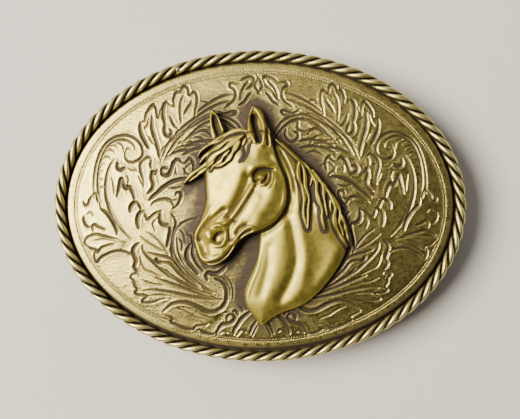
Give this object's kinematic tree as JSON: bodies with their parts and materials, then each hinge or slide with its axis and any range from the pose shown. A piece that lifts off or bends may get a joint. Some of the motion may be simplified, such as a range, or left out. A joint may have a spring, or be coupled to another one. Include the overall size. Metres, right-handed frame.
{
  "type": "belt buckle",
  "caption": "Oval plate belt buckle with a rope border and a raised horse head; its back has a swinging strap loop and a leaning hook.",
  "frame": {"origin": "on the surface that the buckle lies on face up, under the middle of its oval", "axes": "+X along the oval, from the hook side to the loop side; +Y across the oval, towards the top of the horse's head; +Z out of the face"},
  "size_m": [0.0939, 0.0713, 0.0196],
  "materials": {
    "antique_brass": "antiqued satin, dark in its grooves",
    "polished_brass": "rubbed bright on high spots, dark in its grooves",
    "rope_brass": "polished crests, dark between the strands",
    "back_brass": "dark antiqued, fine scratches",
    "lug_brass": "satin",
    "hook_brass": "worn bright where the strap rubs",
    "rivet_brass": "satin",
    "loop_steel": "brass-plated steel, lightly brushed",
    "solder": "smooth bead"
  },
  "bodies": {
    "buckle": {"back_plate": "back_brass", "face_plate": "antique_brass", "rope_strand_1": "rope_brass", "rope_strand_2": "rope_brass", "rope_strand_3": "rope_brass", "rope_joint": "solder", "horse_head": "polished_brass", "emblem_rivet_head": "rivet_brass", "emblem_rivet_neck": "rivet_brass", "loop_lug_lower": "lug_brass", "loop_lug_lower_rivet_1": "rivet_brass", "loop_lug_lower_rivet_2": "rivet_brass", "hook_pad_rivet_lower": "rivet_brass", "loop_lug_upper": "lug_brass", "loop_lug_upper_rivet_1": "rivet_brass", "loop_lug_upper_rivet_2": "rivet_brass", "hook_pad_rivet_upper": "rivet_brass", "hook_pad": "lug_brass", "hook_prong": "hook_brass"},
    "belt_loop": {"belt_loop": "loop_steel"}
  },
  "joints": [
    {"name": "loop_hinge", "type": "hinge", "parent": "buckle", "child": "belt_loop", "pos_m": [0.016, 0, 0.004], "axis": [0, 1, 0], "range_deg": [0, 170]}
  ]
}
